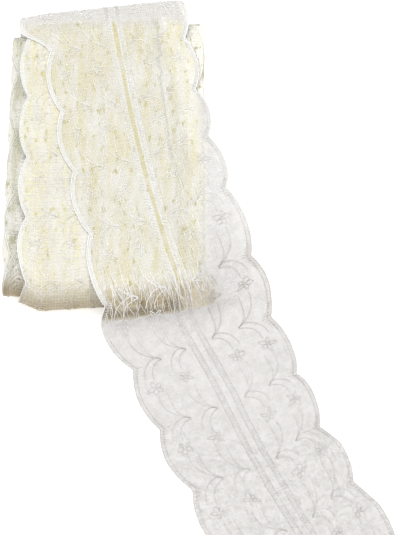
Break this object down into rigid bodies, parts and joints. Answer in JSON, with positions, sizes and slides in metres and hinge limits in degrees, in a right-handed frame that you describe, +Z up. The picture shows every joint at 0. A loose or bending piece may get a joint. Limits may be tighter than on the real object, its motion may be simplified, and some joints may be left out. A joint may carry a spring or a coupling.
{
  "type": "roll of lace trim",
  "caption": "Flat-wound roll of scalloped floral lace trim, its loose end drawn over the front fold and laid out in low waves.",
  "frame": {"origin": "middle of the roll's flat base, on the surface that it rests on", "axes": "+Y along the roll towards its far fold, with the loose end running off towards -Y and +X; +Z up"},
  "size_m": [0.1829, 0.3503, 0.0275],
  "materials": {
    "lace_laps": "matt cream net and thread",
    "lace_end": "matt ivory net and thread"
  },
  "bodies": {
    "root": {"wound_roll": "lace_laps", "loose_end": "lace_end"}
  },
  "joints": []
}
